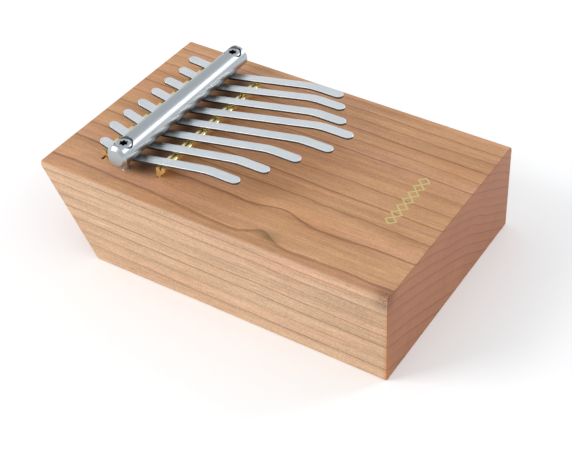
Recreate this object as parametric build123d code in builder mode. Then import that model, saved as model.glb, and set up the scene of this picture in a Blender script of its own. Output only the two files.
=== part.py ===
from build123d import *
import math
import os

# Lamellophone (thumb piano) with eight steel tines on a hollowed hardwood block.
# Millimetres. +X runs from the rear end, where the tines are clamped, to the front end that
# the tips point at. +Y runs across the tines, +Z is up. The origin is at the centre of the
# underside of the bounding box, so the instrument rests on z = 0.

# Sound block
OVERALL_LENGTH = 166.8
WIDTH = 113.0
HEIGHT = 42.0
REAR_UNDERCUT = 26.5
FRONT_LEAN = 1.8
LONG_EDGE_RADIUS = 2.0
EDGE_RADIUS = 0.6

# Resonance chamber, milled from below and closed by a glued plate with a sound hole
CHAMBER_REAR = -30.0
CHAMBER_FRONT = 70.0
SIDE_WALL = 11.0
SOUNDBOARD_THICKNESS = 8.0
CHAMBER_CORNER_RADIUS = 8.0
PLATE_THICKNESS = 4.0
PLATE_LEDGE = 4.0
PLATE_GAP = 0.05
SOUND_HOLE_RADIUS = 11.0
SOUND_HOLE_X = 20.0

# Pressure bar and its two screws
BAR_X = -49.6
BAR_RADIUS = 5.0
BAR_LENGTH = 93.8
BAR_OFFSET_Y = -0.6
BAR_CHAMFER = 1.25
BAR_AXIS_ABOVE_DECK = 8.7
SCREW_Y = (-41.2, 40.7)
SCREW_CLEARANCE_RADIUS = 2.15
COUNTERBORE_RADIUS = 4.0
SCREW_SEAT_ABOVE_AXIS = 1.3
SCREW_HEAD_RADIUS = 3.5
SCREW_HEAD_HEIGHT = 2.7
SCREW_HEAD_EDGE = 0.35
SCREW_SHANK_RADIUS = 1.75
SCREW_THREAD_RADIUS = 1.95
SCREW_LENGTH = 20.0
RECESS_RADIUS = 1.97
RECESS_LOBES = 6
RECESS_LOBE_RADIUS = 0.55
RECESS_DEPTH = 2.0
SCREW_HOLE_RADIUS = 2.0
SCREW_HOLE_DEPTH = 12.0

# Brass bridge rails. Each stands in a saw kerf on a tongue and reaches forward over its foot,
# with a notch between two bearing edges along its sloping top.
REAR_BRIDGE_X = -61.85
REAR_BRIDGE_HEIGHT = 3.6
REAR_BRIDGE_SLOPE_DEG = -9.2
REAR_BRIDGE_LENGTH = 80.0
REAR_KERF_LENGTH = 83.4
FRONT_BRIDGE_X = -34.6
FRONT_BRIDGE_HEIGHT = 4.8
FRONT_BRIDGE_SLOPE_DEG = 11.3
FRONT_BRIDGE_LENGTH = 79.0
FRONT_KERF_LENGTH = 79.6
BRIDGE_BACK = 0.6
BRIDGE_NOTCH_START = 1.05
BRIDGE_NOTCH_END = 2.25
BRIDGE_NOTCH_DEPTH = 1.6
BRIDGE_FRONT = 3.9
BRIDGE_FOOT = 1.4
BRIDGE_STEM_SHARE = 0.3
BRIDGE_LIP = 1.8
BRIDGE_EDGE_CHAMFER = 0.2
KERF_WIDTH = 1.2
KERF_DEPTH = 3.0
TONGUE_WIDTH = 1.1
TONGUE_DEPTH = 2.8

# Tines: flat spring steel strips, listed from the -Y side to the +Y side
TINE_COUNT = 8
TINE_PITCH = 10.35
TINE_WIDTH = 4.9
TINE_THICKNESS = 1.0
TINE_TIP_X = (3.7, 11.3, 19.7, 28.6, 32.0, 22.9, 16.6, 10.1)
TINE_BUTT_X = (-65.7, -68.6, -68.9, -68.9, -69.1, -69.4, -68.8, -70.4)
TINE_BUTT_HEIGHT = (5.7, 6.7, 6.7, 6.0, 5.8, 5.4, 5.4, 5.0)
TINE_RISE_DEG = (11.1, 11.3, 11.9, 11.8, 12.8, 12.2, 12.8, 11.9)
REAR_CREST_X = -61.0
REAR_CREST_HEIGHT = 4.35
DIP_HEIGHT = 2.5
FRONT_CREST_HEIGHT = 5.7
END_STRAIGHT = 15.0
CREST_RADIUS = 12.0
DIP_RADIUS = 25.0
FRONT_CREST_RADIUS = 40.0
END_BEND_RADIUS = 30.0
HINGE_X = -30.2
HINGE_GAP = 0.2

# Brass inlay: a chain of open lozenges across the front of the deck
INLAY_X = 60.8
INLAY_LOZENGES = 7
INLAY_PITCH = 4.9
INLAY_WIDTH = 5.8
INLAY_STROKE = 0.85
INLAY_DEPTH = 0.35

# Places that follow from the driving dimensions
REAR_CORNER_DEG = math.degrees(math.atan2(HEIGHT, REAR_UNDERCUT))
ROUNDED_OFF = EDGE_RADIUS / math.tan(math.radians(REAR_CORNER_DEG / 2)) - EDGE_RADIUS
REAR_X = -OVERALL_LENGTH / 2 - ROUNDED_OFF
FRONT_X = OVERALL_LENGTH / 2
FRONT_TOP_X = FRONT_X - FRONT_LEAN
CHAMBER_X = (CHAMBER_REAR + CHAMBER_FRONT) / 2
CHAMBER_LENGTH = CHAMBER_FRONT - CHAMBER_REAR
CHAMBER_WIDTH = WIDTH - 2 * SIDE_WALL
BAR_Z = HEIGHT + BAR_AXIS_ABOVE_DECK
SCREW_SEAT_Z = BAR_Z + SCREW_SEAT_ABOVE_AXIS
SCREW_PLACES = [(BAR_X, y) for y in SCREW_Y]
FRONT_TO_REAR = Plane.XZ

os.makedirs("parts", exist_ok=True)


def save(piece, name):
    """Labels a finished piece and writes it as its own file."""
    piece.label = name
    export_step(piece, f"parts/{name}.step")


def lozenge_chain():
    """Outline of the inlay: open lozenges in a row along Y whose points run into each other."""
    middle = (INLAY_LOZENGES - 1) / 2
    places = [(0, (number - middle) * INLAY_PITCH) for number in range(INLAY_LOZENGES)]
    half_x = INLAY_WIDTH / 2
    half_y = INLAY_PITCH / 2 + INLAY_STROKE / 2
    inner = 1 - 2 * INLAY_STROKE / INLAY_PITCH
    with BuildSketch() as chain:
        with Locations(*places):
            Polygon((half_x, 0), (0, half_y), (-half_x, 0), (0, -half_y))
        with Locations(*places):
            Polygon(
                (half_x * inner, 0),
                (0, half_y * inner),
                (-half_x * inner, 0),
                (0, -half_y * inner),
                mode=Mode.SUBTRACT,
            )
    return chain.sketch


inlay_outline = lozenge_chain()


# Sound block: a trapezoid side profile with the rear end cut away underneath
with BuildPart() as block:
    with BuildSketch(FRONT_TO_REAR):
        Polygon(
            (REAR_X, HEIGHT),
            (REAR_X + REAR_UNDERCUT, 0),
            (FRONT_X, 0),
            (FRONT_TOP_X, HEIGHT),
            align=None,
        )
    extrude(amount=WIDTH / 2, both=True)
    deck = block.faces().sort_by(Axis.Z)[-1]
    fillet(deck.edges().filter_by(Axis.X), LONG_EDGE_RADIUS)
    ends = block.faces().sort_by(Axis.X)
    underside = block.faces().sort_by(Axis.Z)[0]
    sharp_edges = ends[0].edges() + ends[-1].edges() + underside.edges().filter_by(Axis.X)
    fillet(sharp_edges, EDGE_RADIUS)
    # Seat for the bottom plate, then the chamber above it
    with BuildSketch(Plane.XY):
        with Locations((CHAMBER_X, 0)):
            RectangleRounded(
                CHAMBER_LENGTH + 2 * PLATE_LEDGE,
                CHAMBER_WIDTH + 2 * PLATE_LEDGE,
                CHAMBER_CORNER_RADIUS + PLATE_LEDGE,
            )
    extrude(amount=PLATE_THICKNESS, mode=Mode.SUBTRACT)
    with BuildSketch(Plane.XY.offset(PLATE_THICKNESS)):
        with Locations((CHAMBER_X, 0)):
            RectangleRounded(CHAMBER_LENGTH, CHAMBER_WIDTH, CHAMBER_CORNER_RADIUS)
    extrude(amount=HEIGHT - SOUNDBOARD_THICKNESS - PLATE_THICKNESS, mode=Mode.SUBTRACT)
    # Saw kerfs for the bridge tongues
    with BuildSketch(Plane.XY.offset(HEIGHT)):
        with Locations((REAR_BRIDGE_X, 0)):
            SlotOverall(REAR_KERF_LENGTH, KERF_WIDTH, rotation=90)
        with Locations((FRONT_BRIDGE_X, 0)):
            Rectangle(KERF_WIDTH, FRONT_KERF_LENGTH)
    extrude(amount=-KERF_DEPTH, mode=Mode.SUBTRACT)
    # Holes the screws are driven into
    with Locations(*[(x, y, HEIGHT) for x, y in SCREW_PLACES]):
        Hole(SCREW_HOLE_RADIUS, SCREW_HOLE_DEPTH)
    # Shallow pocket for the inlay
    with BuildSketch(Plane.XY.offset(HEIGHT)):
        with Locations((INLAY_X, 0)):
            add(inlay_outline)
    extrude(amount=-INLAY_DEPTH, mode=Mode.SUBTRACT)
save(block.part, "block")


with BuildPart() as bottom_plate:
    with BuildSketch(Plane.XY):
        with Locations((CHAMBER_X, 0)):
            RectangleRounded(
                CHAMBER_LENGTH + 2 * (PLATE_LEDGE - PLATE_GAP),
                CHAMBER_WIDTH + 2 * (PLATE_LEDGE - PLATE_GAP),
                CHAMBER_CORNER_RADIUS + PLATE_LEDGE - PLATE_GAP,
            )
        with Locations((SOUND_HOLE_X, 0)):
            Circle(SOUND_HOLE_RADIUS, mode=Mode.SUBTRACT)
    extrude(amount=PLATE_THICKNESS)
save(bottom_plate.part, "bottom_plate")


with BuildPart() as deck_inlay:
    with BuildSketch(Plane.XY.offset(HEIGHT)):
        with Locations((INLAY_X, 0)):
            add(inlay_outline)
    extrude(amount=-INLAY_DEPTH)
save(deck_inlay.part, "deck_inlay")


# Round bar that holds the tines down, with a counterbored hole near each end
with BuildPart() as pressure_bar:
    with BuildSketch(FRONT_TO_REAR.offset(-BAR_OFFSET_Y)):
        with Locations((BAR_X, BAR_Z)):
            Circle(BAR_RADIUS)
    extrude(amount=BAR_LENGTH / 2, both=True)
    chamfer(pressure_bar.edges().filter_by(GeomType.CIRCLE), BAR_CHAMFER)
    with Locations(*[(x, y, BAR_Z + BAR_RADIUS) for x, y in SCREW_PLACES]):
        CounterBoreHole(
            SCREW_CLEARANCE_RADIUS,
            COUNTERBORE_RADIUS,
            BAR_RADIUS - SCREW_SEAT_ABOVE_AXIS,
        )
save(pressure_bar.part, "pressure_bar")


# Cheese-head screws with a six-lobe recess
with BuildPart() as clamp_screws:
    with BuildSketch(Plane.XY.offset(SCREW_SEAT_Z)):
        with Locations(*SCREW_PLACES):
            Circle(SCREW_HEAD_RADIUS)
    extrude(amount=SCREW_HEAD_HEIGHT)
    chamfer(clamp_screws.faces().group_by(Axis.Z)[-1].edges(), SCREW_HEAD_EDGE)
    with BuildSketch(Plane.XY.offset(SCREW_SEAT_Z)):
        with Locations(*SCREW_PLACES):
            Circle(SCREW_SHANK_RADIUS)
    extrude(amount=-SCREW_LENGTH)
    with BuildSketch(Plane.XY.offset(HEIGHT)):
        with Locations(*SCREW_PLACES):
            Circle(SCREW_THREAD_RADIUS)
    extrude(amount=SCREW_SEAT_Z - SCREW_LENGTH - HEIGHT)
    with BuildSketch(Plane.XY.offset(SCREW_SEAT_Z + SCREW_HEAD_HEIGHT)):
        with Locations(*SCREW_PLACES):
            Circle(RECESS_RADIUS - RECESS_LOBE_RADIUS)
            with PolarLocations(RECESS_RADIUS - RECESS_LOBE_RADIUS, RECESS_LOBES):
                Circle(RECESS_LOBE_RADIUS)
    extrude(amount=-RECESS_DEPTH, mode=Mode.SUBTRACT)
save(clamp_screws.part, "clamp_screws")


def bridge(x, height, slope_deg, length):
    """A rail whose back stands over its kerf; its head leans forward and carries the notch."""
    slope = math.tan(math.radians(slope_deg))
    half_tongue = TONGUE_WIDTH / 2
    notch_middle = (BRIDGE_NOTCH_START + BRIDGE_NOTCH_END) / 2
    lip_underside = height + slope * BRIDGE_FRONT - BRIDGE_LIP
    back_edge = -BRIDGE_BACK + BRIDGE_EDGE_CHAMFER
    front_edge = BRIDGE_FRONT - BRIDGE_EDGE_CHAMFER
    outline = [
        (-half_tongue, -TONGUE_DEPTH),
        (half_tongue, -TONGUE_DEPTH),
        (half_tongue, 0),
        (BRIDGE_FOOT, 0),
        (BRIDGE_FOOT, height * BRIDGE_STEM_SHARE),
        (BRIDGE_FRONT, lip_underside),
        (BRIDGE_FRONT, height + slope * BRIDGE_FRONT - BRIDGE_EDGE_CHAMFER),
        (front_edge, height + slope * front_edge),
        (BRIDGE_NOTCH_END, height + slope * BRIDGE_NOTCH_END),
        (notch_middle, height - BRIDGE_NOTCH_DEPTH),
        (BRIDGE_NOTCH_START, height + slope * BRIDGE_NOTCH_START),
        (back_edge, height + slope * back_edge),
        (-BRIDGE_BACK, height - slope * BRIDGE_BACK - BRIDGE_EDGE_CHAMFER),
        (-BRIDGE_BACK, 0),
        (-half_tongue, 0),
    ]
    with BuildPart() as rail:
        with BuildSketch(FRONT_TO_REAR):
            Polygon(*[(x + across, HEIGHT + up) for across, up in outline], align=None)
        extrude(amount=length / 2, both=True)
    return rail.part


rear_rail = bridge(REAR_BRIDGE_X, REAR_BRIDGE_HEIGHT, REAR_BRIDGE_SLOPE_DEG, REAR_BRIDGE_LENGTH)
front_rail = bridge(FRONT_BRIDGE_X, FRONT_BRIDGE_HEIGHT, FRONT_BRIDGE_SLOPE_DEG, FRONT_BRIDGE_LENGTH)
save(rear_rail, "rear_bridge")
save(front_rail, "front_bridge")


def tine_path(butt_x, butt_height, tip_x, rise_deg):
    """Corners of a tine's centre line: butt, rear crest, dip under the bar, front crest, bend, tip."""
    bend_x = tip_x - END_STRAIGHT
    end_height = FRONT_CREST_HEIGHT + math.tan(math.radians(rise_deg)) * (bend_x - FRONT_BRIDGE_X)
    return [
        (butt_x, HEIGHT + butt_height),
        (REAR_CREST_X, HEIGHT + REAR_CREST_HEIGHT),
        (BAR_X, HEIGHT + DIP_HEIGHT),
        (FRONT_BRIDGE_X, HEIGHT + FRONT_CREST_HEIGHT),
        (bend_x, HEIGHT + end_height),
        (tip_x, HEIGHT + end_height),
    ]


def tine_section(y, corners, from_x, to_x):
    """The stretch of a tine between two places along X, full width, with rounded strip ends."""
    butt_x, tip_x = corners[0][0], corners[-1][0]
    radii = [CREST_RADIUS, DIP_RADIUS, FRONT_CREST_RADIUS, END_BEND_RADIUS]
    with BuildPart() as strip:
        with BuildSketch(FRONT_TO_REAR.offset(-y)):
            with BuildLine():
                FilletPolyline(*corners, radius=radii)
            trace(line_width=TINE_THICKNESS)
        extrude(amount=TINE_WIDTH / 2, both=True)
        with BuildSketch(Plane.XY.offset(HEIGHT)):
            with Locations(((butt_x + tip_x) / 2, y)):
                SlotOverall(tip_x - butt_x, TINE_WIDTH)
            with Locations(((from_x + to_x) / 2, y)):
                Rectangle(to_x - from_x, 2 * TINE_WIDTH, mode=Mode.INTERSECT)
        extrude(amount=HEIGHT, mode=Mode.INTERSECT)
    return strip.part


# Each tine is held at its heel and swings about the front bridge along its tongue
for index in range(TINE_COUNT):
    tine_y = (index - (TINE_COUNT - 1) / 2) * TINE_PITCH
    butt, tip = TINE_BUTT_X[index], TINE_TIP_X[index]
    tine_corners = tine_path(butt, TINE_BUTT_HEIGHT[index], tip, TINE_RISE_DEG[index])
    heel = tine_section(tine_y, tine_corners, butt - 1, HINGE_X - HINGE_GAP / 2)
    tongue = tine_section(tine_y, tine_corners, HINGE_X + HINGE_GAP / 2, tip + 1)
    save(heel, f"tine_{index + 1}_heel")
    save(tongue, f"tine_{index + 1}_tongue")
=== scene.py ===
import math

import bmesh
import bpy
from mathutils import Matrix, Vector


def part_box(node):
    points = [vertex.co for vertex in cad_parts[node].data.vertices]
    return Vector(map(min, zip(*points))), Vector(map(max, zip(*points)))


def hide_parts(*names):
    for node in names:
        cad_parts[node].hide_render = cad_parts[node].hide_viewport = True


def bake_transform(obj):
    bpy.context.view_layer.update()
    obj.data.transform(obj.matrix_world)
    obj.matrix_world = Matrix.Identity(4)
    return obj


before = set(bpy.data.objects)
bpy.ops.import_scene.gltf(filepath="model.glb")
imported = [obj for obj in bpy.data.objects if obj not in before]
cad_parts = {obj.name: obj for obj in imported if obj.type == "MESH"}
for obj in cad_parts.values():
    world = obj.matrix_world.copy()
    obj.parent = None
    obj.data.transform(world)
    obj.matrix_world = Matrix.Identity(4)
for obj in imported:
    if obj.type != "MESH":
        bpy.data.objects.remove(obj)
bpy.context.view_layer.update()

MM = 0.001


# ---------------------------------------------------------------- material graphs


class Graph:
    """A material's node tree, with short calls for the nodes used here."""

    def __init__(self, name):
        self.material = bpy.data.materials.new(name)
        self.material.use_nodes = True
        self.tree = self.material.node_tree
        self.shader = self.tree.nodes["Principled BSDF"]

    def node(self, kind, *values, **settings):
        """Adds a node. Each value goes to the input in that place; a socket is linked to it."""
        made = self.tree.nodes.new("ShaderNode" + kind)
        for key, value in settings.items():
            setattr(made, key, value)
        for place, value in enumerate(values):
            self.plug(made.inputs[place], value)
        return made

    def plug(self, socket, value):
        if isinstance(value, bpy.types.NodeSocket):
            self.tree.links.new(value, socket)
        elif value is not None:
            socket.default_value = value

    def shade(self, **inputs):
        """Sets or links the shader's own inputs; underscores in a name stand for spaces."""
        for name, value in inputs.items():
            self.plug(self.shader.inputs[name.replace("_", " ")], value)

    def math(self, operation, *values, clamp=False):
        return self.node("Math", *values, operation=operation, use_clamp=clamp).outputs[0]

    def add(self, a, b):
        return self.math("ADD", a, b)

    def mul(self, a, b):
        return self.math("MULTIPLY", a, b)

    def fit(self, value, low, high, to_low=0.0, to_high=1.0):
        """Maps low..high to to_low..to_high with soft ends."""
        made = self.node("MapRange", value, low, high, to_low, to_high)
        made.interpolation_type = "SMOOTHSTEP"
        return made.outputs[0]

    def between(self, share, a, b):
        """A value that runs from a to b as the share runs from 0 to 1."""
        return self.add(self.mul(share, b - a), a)

    def stretch(self, vector, x, y, z):
        return self.node("VectorMath", vector, (x, y, z), operation="MULTIPLY").outputs[0]

    def noise(self, vector, scale, detail=3.0, roughness=0.5, distortion=0.0):
        made = self.node("TexNoise", noise_dimensions="3D")
        self.plug(made.inputs["Vector"], vector)
        made.inputs["Scale"].default_value = scale
        made.inputs["Detail"].default_value = detail
        made.inputs["Roughness"].default_value = roughness
        made.inputs["Distortion"].default_value = distortion
        return made.outputs["Fac"]

    def blend(self, factor, a, b, how="MIX"):
        made = self.node("Mix", data_type="RGBA", blend_type=how)
        self.plug(made.inputs[0], factor)
        self.plug(made.inputs[6], a)
        self.plug(made.inputs[7], b)
        return made.outputs[2]

    def bump(self, height, distance, strength=1.0, under=None):
        made = self.node("Bump")
        made.inputs["Strength"].default_value = strength
        made.inputs["Distance"].default_value = distance
        self.plug(made.inputs["Height"], height)
        if under is not None:
            self.plug(made.inputs["Normal"], under)
        return made.outputs["Normal"]

    def place(self):
        """The point in the object's own frame, in millimetres."""
        point = self.node("TexCoord").outputs["Object"]
        return self.stretch(point, 1 / MM, 1 / MM, 1 / MM)

    def split(self, vector):
        return self.node("SeparateXYZ", vector).outputs

    def facing(self):
        """How much the surface faces along X, Y and Z of the object's own frame, each 0 to 1."""
        normal = self.node("TexCoord").outputs["Normal"]
        return self.split(self.node("VectorMath", normal, operation="ABSOLUTE").outputs[0])


def srgb(red, green, blue):
    """A colour given as 0..255 display values, as the linear colour a shader wants."""
    def linear(value):
        value /= 255
        return value / 12.92 if value <= 0.04045 else ((value + 0.055) / 1.055) ** 2.4
    return (linear(red), linear(green), linear(blue), 1.0)


def bell(g, value, middle, half_width):
    """exp of minus the square of the distance from the middle in half widths."""
    off = g.math("DIVIDE", g.math("SUBTRACT", value, middle), half_width)
    return g.math("EXPONENT", g.mul(g.mul(off, off), -1.0))


# ---------------------------------------------------------------- wood

# Growth rings are circles around a pith outside the block, narrower the further out they lie
PITH_Y = -163.0
PITH_Z = -345.0
FIRST_RING = 361.0
FIRST_RING_WIDTH = 6.2
RING_SHRINK = 0.040
# Each waver bends the rings: how quickly it changes along X, Y and Z, and by how much
RING_WAVERS = (((0.005, 0.02, 0.02), 5.0), ((0.025, 0.06, 0.06), 0.9), ((0.1, 0.3, 0.3), 0.35))
# The rings bulge at one place near the long edge: its middle, its half width and the bulge
BULGE_X, BULGE_REACH_X = 21.0, 8.0
BULGE_Y, BULGE_REACH_Y = -41.0, 13.0
BULGE = 1.6

DECK_TONES = srgb(180, 126, 84), srgb(213, 167, 124)
# The long sides are lighter and pinker than the deck, partly as the side grain's own tone and partly
# as painted light
SIDE_TONES_AND_PAINTED_LIGHT = srgb(200, 160, 126), srgb(216, 182, 150)
END_TONES = srgb(162, 102, 70), srgb(180, 122, 88)
LATE_WOOD = srgb(140, 88, 56)
RING_LINE = srgb(104, 62, 38)
BLUSH = srgb(214, 156, 128)
PORE = srgb(118, 74, 48)
SMUDGE = srgb(112, 98, 56)
DARK_CORNER = srgb(86, 50, 32)
# A painted highlight for the rounded near front vertical edge
EDGE_HIGHLIGHT = srgb(196, 118, 62)
# Painted shade for the wood under the tines, between the clamp bar and the front bridge
SHADE_UNDER_TINES = srgb(62, 30, 18)

WOOD_ROUGHNESS = 0.44
WOOD_SPECULAR = 0.35
FIBRE_RELIEF = 0.05 * MM
# Marks and painted shade on the deck lie above this height; the chamber walls and the underside have
# none
MARKS_FROM_Z = 36.0


def ring_count(g, place):
    """How many growth rings lie between the pith side and this point, with the grain's waver."""
    x, y, z = g.split(place)
    off_y = g.math("SUBTRACT", y, PITH_Y)
    off_z = g.math("SUBTRACT", z, PITH_Z)
    radius = g.math("SQRT", g.add(g.mul(off_y, off_y), g.mul(off_z, off_z)))
    for stretch, amount in RING_WAVERS:
        waver = g.noise(g.stretch(place, *stretch), 1.0, 2.0)
        radius = g.add(radius, g.mul(g.math("SUBTRACT", waver, 0.5), amount))
    bulge = g.mul(bell(g, x, BULGE_X, BULGE_REACH_X), bell(g, y, BULGE_Y, BULGE_REACH_Y))
    radius = g.math("SUBTRACT", radius, g.mul(bulge, BULGE))
    grown = g.mul(g.math("SUBTRACT", radius, FIRST_RING), -RING_SHRINK / FIRST_RING_WIDTH)
    return g.mul(g.math("LOGARITHM", g.add(grown, 1.0), math.e), -1.0 / RING_SHRINK)


def ring_marks(g, place):
    """The soft darkening of late wood, and the thin line that ends each ring."""
    rings = ring_count(g, place)
    phase = g.math("FRACT", rings)
    number = g.math("FLOOR", rings)
    weight = g.node("TexWhiteNoise", None, number, noise_dimensions="1D").outputs["Value"]
    late = g.mul(g.fit(phase, 0.35, 0.97), g.fit(phase, 1.0, 0.985))
    line = g.mul(g.fit(phase, 0.87, 0.96), g.fit(phase, 1.0, 0.975))
    return late, g.mul(line, g.fit(weight, 0.0, 1.0, 0.25, 1.0))


def marks_and_painted_light(g, tone, place, flats, speck):
    """A smudge on the deck, a dark front corner, a painted highlight along the near front edge and
    painted shade on the wood under the tines.
    """
    x, y, z = g.split(place)
    deck = g.mul(flats, g.math("GREATER_THAN", z, MARKS_FROM_Z))
    smudge = g.mul(bell(g, x, 25.0, 4.5), g.mul(bell(g, y, -49.0, 2.5), deck))
    tone = g.blend(g.mul(smudge, g.fit(speck, 0.35, 0.6, 0.2, 0.75)), tone, SMUDGE)
    corner = g.mul(bell(g, x, 80.0, 4.5), bell(g, y, -55.0, 4.0))
    corner = g.mul(corner, bell(g, z, 40.0, 5.0))
    tone = g.blend(g.mul(corner, g.fit(speck, 0.35, 0.65, 0.2, 0.9)), tone, DARK_CORNER)
    # Painted highlight: a warm bright strip down the rounded near front vertical edge
    edge = g.mul(bell(g, x, 83.0, 1.2), bell(g, y, -56.5, 1.6))
    tone = g.blend(g.mul(edge, 0.55), tone, EDGE_HIGHLIGHT)
    # Painted shade: the wood under the tines just in front of the clamp bar is darkened as the
    # shadow of the bar and tines
    shade_under_tines = g.mul(bell(g, x, -43.5, 5.5), g.fit(g.math("ABSOLUTE", y), 44.0, 37.0))
    shade_under_tines = g.mul(g.mul(shade_under_tines, deck), g.fit(speck, 0.2, 0.6, 0.6, 0.8))
    return g.blend(shade_under_tines, tone, SHADE_UNDER_TINES)


def wood(name, board=(0, 0, 0), tint=1.0):
    """Oiled cherry with long grain along X and growth rings on the ends; board moves the grain."""
    g = Graph(name)
    own_place = g.place()
    place = g.node("VectorMath", own_place, board, operation="ADD").outputs[0]
    ends, sides, flats = g.facing()
    side = g.fit(sides, 0.35, 0.85)
    end = g.fit(ends, 0.35, 0.75)
    late, line = ring_marks(g, place)

    # Broad streaks, fibres and fine fibres, all long in X, then clouds, specks and pores
    streak = g.noise(g.stretch(place, 0.008, 0.28, 0.28), 1.0, 3.0, 0.55)
    fibre = g.noise(g.stretch(place, 0.025, 1.1, 1.1), 1.0, 4.0, 0.62)
    fine = g.noise(g.stretch(place, 0.12, 4.5, 4.5), 1.0, 3.0, 0.6)
    cloud = g.noise(g.stretch(place, 0.02, 0.05, 0.05), 1.0, 3.0)
    blush = g.noise(g.stretch(place, 0.012, 0.09, 0.09), 1.0, 3.0)
    speck = g.noise(g.stretch(place, 1.2, 2.2, 2.2), 1.0, 3.0, 0.7)
    pores = g.fit(g.noise(g.stretch(place, 0.35, 5.0, 5.0), 1.0, 2.0), 0.66, 0.74)

    # The side faces take the side tones, which are lighter than the deck partly as painted light
    tone = g.blend(side, g.blend(cloud, *DECK_TONES), g.blend(cloud, *SIDE_TONES_AND_PAINTED_LIGHT))
    tone = g.blend(end, tone, g.blend(cloud, *END_TONES))
    blush = g.mul(g.fit(blush, 0.45, 0.68, 0.0, 0.35), g.math("SUBTRACT", 1.0, end))
    tone = g.blend(blush, tone, BLUSH)
    tone = g.blend(g.mul(late, g.between(side, 0.18, 0.14)), tone, LATE_WOOD)
    tone = g.blend(g.mul(line, g.between(side, 0.62, 0.58)), tone, RING_LINE)

    speck_share = g.fit(sides, 0.3, 0.8, 0.75, 1.0)
    grain = g.mul(g.math("SUBTRACT", speck, 0.5), speck_share)
    for layer, share in ((streak, 0.55), (fibre, 0.60), (fine, 0.8)):
        grain = g.add(grain, g.mul(g.math("SUBTRACT", layer, 0.5), share))
    grain = g.mul(grain, g.fit(ends, 0.3, 0.8, 1.0, 0.35))
    strength = g.mul(g.add(grain, 1.0), tint)
    tone = g.node("VectorMath", tone, None, None, strength, operation="SCALE").outputs[0]
    tone = g.blend(g.mul(pores, 0.35), tone, PORE)
    g.shade(
        Base_Color=marks_and_painted_light(g, tone, own_place, flats, speck),
        Roughness=g.add(g.mul(fibre, 0.16), WOOD_ROUGHNESS),
        Specular_IOR_Level=WOOD_SPECULAR,
        Normal=g.bump(g.add(g.mul(fine, 0.6), g.mul(pores, -0.5)), FIBRE_RELIEF, 0.6),
    )
    return g.material


# ---------------------------------------------------------------- metals


# The bar's axis, the two screws along it and the top of their heads
BAR_X = -49.6
SCREW_Y = (-41.2, 40.7)
HEAD_TOP_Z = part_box("clamp_screws")[1].z / MM
RECESS_REACH = 2.05
RECESS_DEEPEST = 2.3
RECESS_START = 0.03
# Painted shade for the tines' side faces
SIDE_SHADE = srgb(78, 72, 68)
# A painted dark reflection of the clamp bar on the tines: its colour, middle in X and half width
DARK_REFLECTION = srgb(120, 116, 112)
DARK_REFLECTION_X, DARK_REFLECTION_REACH = -44.0, 6.0
# Near black painted into the screw recess as its shade
RECESS_SHADE = srgb(14, 14, 16)
POLISH_RELIEF = 0.01 * MM


def darker(colour, share):
    return [channel * share for channel in colour[:3]] + [1]


def metal(name, colour, roughness, along, wear=0.05):
    """Satin metal, brushed along one axis: along gives how stretched the marks are on X, Y and Z."""
    g = Graph(name)
    place = g.place()
    marks = g.noise(g.stretch(place, *along), 1.0, 4.0, 0.6)
    cloud = g.noise(place, 0.12, 3.0)
    tone = g.blend(g.fit(marks, 0.25, 0.75), darker(colour, 0.93), colour)
    tone = g.blend(g.mul(cloud, wear), tone, darker(colour, 0.7))
    g.shade(
        Base_Color=tone,
        Metallic=1.0,
        Roughness=g.fit(marks, 0.2, 0.8, roughness * 0.8, roughness * 1.25),
        Normal=g.bump(marks, POLISH_RELIEF, 0.5),
    )
    return g.material


def strip_steel(name):
    """Bright rolled strip with painted shade on its side faces and a painted dark reflection of the
    clamp bar just in front of it.
    """
    g = Graph(name)
    place = g.place()
    x = g.split(place)[0]
    flats = g.facing()[2]
    marks = g.noise(g.stretch(place, 0.1, 3.0, 3.0), 1.0, 4.0, 0.6)
    cloud = g.noise(place, 0.10, 3.0)
    tone = g.blend(g.fit(marks, 0.25, 0.75), srgb(238, 243, 246), srgb(250, 252, 253))
    tone = g.blend(g.fit(cloud, 0.4, 0.7, 0.0, 0.35), tone, srgb(224, 232, 236))
    # Painted reflection: the tines darken just in front of the clamp bar, as the bar's dark
    # underside mirrored in them
    tone = g.blend(g.mul(bell(g, x, DARK_REFLECTION_X, DARK_REFLECTION_REACH), 0.45), tone, DARK_REFLECTION)
    # Painted shade: the tines' side faces are darkened, and they are also a little rougher
    edge = g.fit(flats, 0.75, 0.35)
    tone = g.blend(g.mul(edge, 0.92), tone, SIDE_SHADE)
    g.shade(
        Base_Color=tone,
        Metallic=1.0,
        Roughness=g.add(g.fit(marks, 0.2, 0.8, 0.27, 0.38), g.mul(edge, 0.2)),
        Normal=g.bump(marks, POLISH_RELIEF, 0.4),
    )
    return g.material


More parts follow.
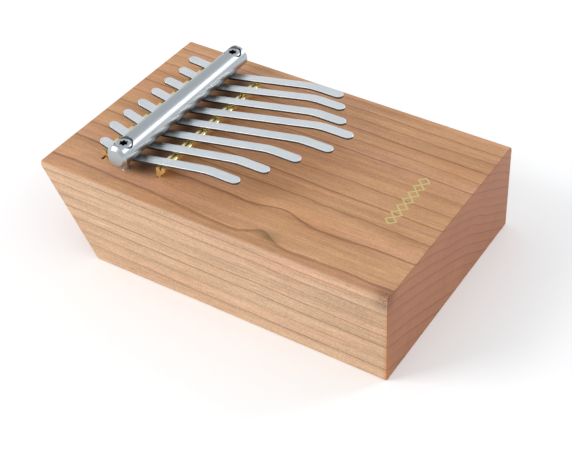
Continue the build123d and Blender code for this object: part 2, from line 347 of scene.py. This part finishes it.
def screw_steel(name, colour, roughness):
    """Satin screw steel whose six-lobe recess is painted near black as the shade inside it."""
    g = Graph(name)
    place = g.place()
    x, y, z = g.split(place)
    off_x = g.math("SUBTRACT", x, BAR_X)
    middle = sum(SCREW_Y) / 2
    from_middle = g.math("ABSOLUTE", g.math("SUBTRACT", y, middle))
    off_y = g.math("SUBTRACT", from_middle, SCREW_Y[1] - middle)
    radius = g.math("SQRT", g.add(g.mul(off_x, off_x), g.mul(off_y, off_y)))
    below = g.math("LESS_THAN", z, HEAD_TOP_Z - RECESS_START)
    above = g.math("GREATER_THAN", z, HEAD_TOP_Z - RECESS_DEEPEST)
    recess = g.mul(g.mul(below, g.math("LESS_THAN", radius, RECESS_REACH)), above)
    marks = g.noise(place, 1.5, 4.0)
    tone = g.blend(g.fit(marks, 0.3, 0.7), darker(colour, 0.9), colour)
    # Painted shade: inside the recess the steel is near black and not metallic
    tone = g.blend(recess, tone, RECESS_SHADE)
    g.shade(
        Base_Color=tone,
        Metallic=g.math("SUBTRACT", 1.0, recess),
        Roughness=g.add(roughness, g.mul(recess, 0.5)),
        Specular_IOR_Level=0.2,
        Normal=g.bump(marks, POLISH_RELIEF, 0.5),
    )
    return g.material


def dress(node, material):
    """Gives a CAD node its material."""
    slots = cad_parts[node].data.materials
    slots.clear()
    slots.append(material)


cherry = wood("cherry_wood")
plate_cherry = wood("plate_cherry_wood", (37, 61, 9), 0.86)
steel_bar = metal("turned_steel", srgb(192, 198, 202), 0.36, (5.0, 0.2, 5.0))
steel_screw = screw_steel("screw_steel_satin", srgb(205, 207, 210), 0.34)
steel_tine = strip_steel("spring_steel_satin")
brass = metal("bridge_brass_satin", srgb(255, 238, 176), 0.26, (3.0, 0.3, 3.0), wear=0.1)
brass_inlay = metal("inlay_brass_satin", srgb(238, 222, 150), 0.38, (1.0, 1.0, 1.0))

dress("block", cherry)
dress("bottom_plate", plate_cherry)
dress("pressure_bar", steel_bar)
dress("clamp_screws", steel_screw)
dress("rear_bridge", brass)
dress("front_bridge", brass)
dress("deck_inlay", brass_inlay)


# ---------------------------------------------------------------- tines

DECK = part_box("block")[1].z
# The eight tines, from the -Y side to the +Y side. The strip's own sizes are in metres; the places
# along its centre line are in millimetres, as X and height above the deck.
TINES = 8
TINE_PITCH = 10.35 * MM
TINE_WIDTH = 4.9 * MM
TINE_THICKNESS = 1.0 * MM
TINE_EDGE = 0.16 * MM
TIP_X = (3.7, 11.3, 19.7, 28.6, 32.0, 22.9, 16.6, 10.1)
BUTT_X = (-65.7, -68.6, -68.9, -68.9, -69.1, -69.4, -68.8, -70.4)
BUTT_HEIGHT = (5.7, 6.7, 6.7, 6.0, 5.8, 5.4, 5.4, 5.0)
RISE_DEG = (11.1, 11.3, 11.9, 11.8, 12.8, 12.2, 12.8, 11.9)
REAR_CREST_X, FRONT_BRIDGE_X = -61.0, -34.6
REAR_HEIGHT, DIP_HEIGHT, FRONT_HEIGHT = 4.35, 2.5, 5.7
END_STRAIGHT = 15.0
BEND_RADII = (12.0, 25.0, 40.0, 30.0)
# Mesh stations: their spacing along a tine, and where the first ones lie at its round ends
STATION_GAP = 0.8
END_TURNS = range(3, 91, 6)
END_FIRST = [0.004, 0.03]
CORNER_STEPS = 3
CORNER_SHARE = 0.9


def tine_corners(index):
    """Corners of the centre line in X and height above the deck, in millimetres."""
    bend_x = TIP_X[index] - END_STRAIGHT
    rise = math.tan(math.radians(RISE_DEG[index])) * (bend_x - FRONT_BRIDGE_X)
    return [
        Vector((BUTT_X[index], BUTT_HEIGHT[index])),
        Vector((REAR_CREST_X, REAR_HEIGHT)),
        Vector((BAR_X, DIP_HEIGHT)),
        Vector((FRONT_BRIDGE_X, FRONT_HEIGHT)),
        Vector((bend_x, FRONT_HEIGHT + rise)),
        Vector((TIP_X[index], FRONT_HEIGHT + rise)),
    ]


def rounded_path(corners, radii):
    """Points along a line of straight runs joined by arcs."""
    points = [corners[0]]
    for before, corner, after, radius in zip(corners, corners[1:], corners[2:], radii):
        back = (before - corner).normalized()
        ahead = (after - corner).normalized()
        half_turn = (math.pi - back.angle(ahead)) / 2
        reach = radius * math.tan(half_turn)
        start, end = corner + back * reach, corner + ahead * reach
        middle = corner + (back + ahead).normalized() * (radius / math.cos(half_turn))
        steps = max(2, math.ceil(2 * half_turn * radius / STATION_GAP))
        for step in range(steps + 1):
            spoke = (start - middle).lerp(end - middle, step / steps)
            points.append(middle + spoke.normalized() * radius)
    points.append(corners[-1])
    return points


def walk(points, lengths):
    """The point and direction at each of the given lengths along a path."""
    found = []
    travelled, place = 0.0, 0
    for length in lengths:
        step = (points[place + 1] - points[place]).length
        while place < len(points) - 2 and travelled + step < length:
            travelled += step
            place += 1
            step = (points[place + 1] - points[place]).length
        run = points[place + 1] - points[place]
        found.append((points[place] + run.normalized() * (length - travelled), run.normalized()))
    return found


def section(half_width, half_height, edge):
    """A rounded rectangle in Y and Z, as a ring of points."""
    edge = min(edge, half_width * CORNER_SHARE, half_height * CORNER_SHARE)
    ring = []
    for quarter, (side, up) in enumerate(((1, 1), (-1, 1), (-1, -1), (1, -1))):
        for step in range(CORNER_STEPS + 1):
            turn = math.radians(90 * (quarter + step / CORNER_STEPS))
            across = side * (half_width - edge) + math.cos(turn) * edge
            height = up * (half_height - edge) + math.sin(turn) * edge
            ring.append((across, height))
    return ring


def stations(total, half_width):
    """Lengths along a tine at which its mesh has a ring: close together at the round ends."""
    near_end = END_FIRST + [half_width * (1 - math.cos(math.radians(turn))) for turn in END_TURNS]
    inner = total - 2 * half_width
    steps = math.ceil(inner / STATION_GAP)
    lengths = near_end + [half_width + inner * step / steps for step in range(1, steps)]
    return lengths + [total - length for length in reversed(near_end)]


def drawn_in(from_end, radius):
    """How far an edge rounded to a radius is drawn in at a distance from the end."""
    if from_end >= radius:
        return 0.0
    return radius - math.sqrt(radius ** 2 - (radius - from_end) ** 2)


def strip_mesh(name, path, y):
    """A strip along a path, with rounded edges and round ends in plan."""
    total = sum((b - a).length for a, b in zip(path, path[1:]))
    half_width = TINE_WIDTH / MM / 2
    edge = TINE_EDGE / MM
    lengths = stations(total, half_width)
    mesh = bmesh.new()
    loops = []
    for length, (point, direction) in zip(lengths, walk(path, lengths)):
        from_end = min(length, total - length)
        width = half_width - drawn_in(from_end, half_width)
        height = TINE_THICKNESS / MM / 2 - drawn_in(from_end, edge)
        loop = []
        for across, up in section(width, height, edge):
            x = point.x - direction.y * up
            z = point.y + direction.x * up
            loop.append(mesh.verts.new((x * MM, y + across * MM, DECK + z * MM)))
        loops.append(loop)
    for near, far in zip(loops, loops[1:]):
        for a in range(len(near)):
            b = (a + 1) % len(near)
            mesh.faces.new((near[a], near[b], far[b], far[a]))
    mesh.faces.new(list(reversed(loops[0])))
    mesh.faces.new(loops[-1])
    bmesh.ops.recalc_face_normals(mesh, faces=mesh.faces)
    data = bpy.data.meshes.new(name)
    mesh.to_mesh(data)
    mesh.free()
    for face in data.polygons:
        face.use_smooth = True
    return data


def build_tine(index):
    """One tine as a single strip from butt to tip, in place of its held and free CAD parts."""
    name = f"tine_{index + 1}"
    y = (index - (TINES - 1) / 2) * TINE_PITCH
    data = strip_mesh(name, rounded_path(tine_corners(index), BEND_RADII), y)
    data.materials.append(steel_tine)
    tine = bpy.data.objects.new(name, data)
    bpy.context.collection.objects.link(tine)
    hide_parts(f"{name}_heel", f"{name}_tongue")
    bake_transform(tine)


for index in range(TINES):
    build_tine(index)


# ---------------------------------------------------------------- stage, light and camera


FLOOR_HALF_WIDTH = 3.0
FLOOR_WHITE = (0.97, 0.97, 0.97, 1)
FLOOR_GLOW = 0.10
SKY_COLOUR = (0.94, 0.97, 1.0, 1.0)
SKY_STRENGTH = 0.72
WARM_WHITE = (1.0, 0.98, 0.95)
# The camera stands off the front near corner and looks down on the deck
CAMERA_AZIMUTH = 31.2725
CAMERA_ELEVATION = 39.3062
CAMERA_PLACE = (0.23620, -0.38344, 0.37212)
CAMERA_LENS = 83.22


def floor():
    """A wide sheet of white paper that glows a little, so that its far parts read as white."""
    mesh = bmesh.new()
    bmesh.ops.create_grid(mesh, x_segments=1, y_segments=1, size=FLOOR_HALF_WIDTH)
    data = bpy.data.meshes.new("floor")
    mesh.to_mesh(data)
    mesh.free()
    g = Graph("floor_paper")
    g.shade(Base_Color=FLOOR_WHITE, Roughness=0.9, Specular_IOR_Level=0.1)
    g.shade(Emission_Color=(1.0, 1.0, 1.0, 1), Emission_Strength=FLOOR_GLOW)
    data.materials.append(g.material)
    plane = bpy.data.objects.new("floor", data)
    bpy.context.collection.objects.link(plane)


def softbox(name, place, aim, size, power, colour=(1, 1, 1)):
    """A square light of a size in metres and a power in watts that points at a place."""
    light = bpy.data.lights.new(name, "AREA")
    light.shape = "RECTANGLE"
    light.size = light.size_y = size
    light.energy = power
    light.color = colour
    lamp = bpy.data.objects.new(name, light)
    lamp.location = place
    lamp.rotation_euler = (Vector(aim) - Vector(place)).to_track_quat("-Z", "Y").to_euler()
    bpy.context.collection.objects.link(lamp)


def surroundings():
    """An even, slightly cool light from all sides."""
    world = bpy.data.worlds.new("studio")
    bpy.context.scene.world = world
    world.use_nodes = True
    back = world.node_tree.nodes["Background"]
    back.inputs["Color"].default_value = SKY_COLOUR
    back.inputs["Strength"].default_value = SKY_STRENGTH


def camera():
    """Looks down on the front and near sides, as far round and up as the two angles say."""
    azimuth = math.radians(CAMERA_AZIMUTH)
    elevation = math.radians(CAMERA_ELEVATION)
    back = Vector((
        math.sin(azimuth) * math.cos(elevation),
        -math.cos(azimuth) * math.cos(elevation),
        math.sin(elevation),
    ))
    data = bpy.data.cameras.new("camera")
    data.sensor_fit = "HORIZONTAL"
    data.sensor_width = 36.0
    data.lens = CAMERA_LENS
    data.clip_start = 0.01
    eye = bpy.data.objects.new("camera", data)
    eye.location = CAMERA_PLACE
    eye.rotation_mode = "QUATERNION"
    eye.rotation_quaternion = (-back).to_track_quat("-Z", "Y")
    bpy.context.collection.objects.link(eye)
    bpy.context.scene.camera = eye


floor()
surroundings()
softbox("key", (-0.95, -0.85, 0.8), (0, 0, 0.02), 0.7, 10.5, WARM_WHITE)
softbox("back", (0.55, 0.75, 0.62), (-0.05, 0, 0.05), 0.32, 2.2)
camera()
bpy.context.scene.view_settings.view_transform = "Standard"
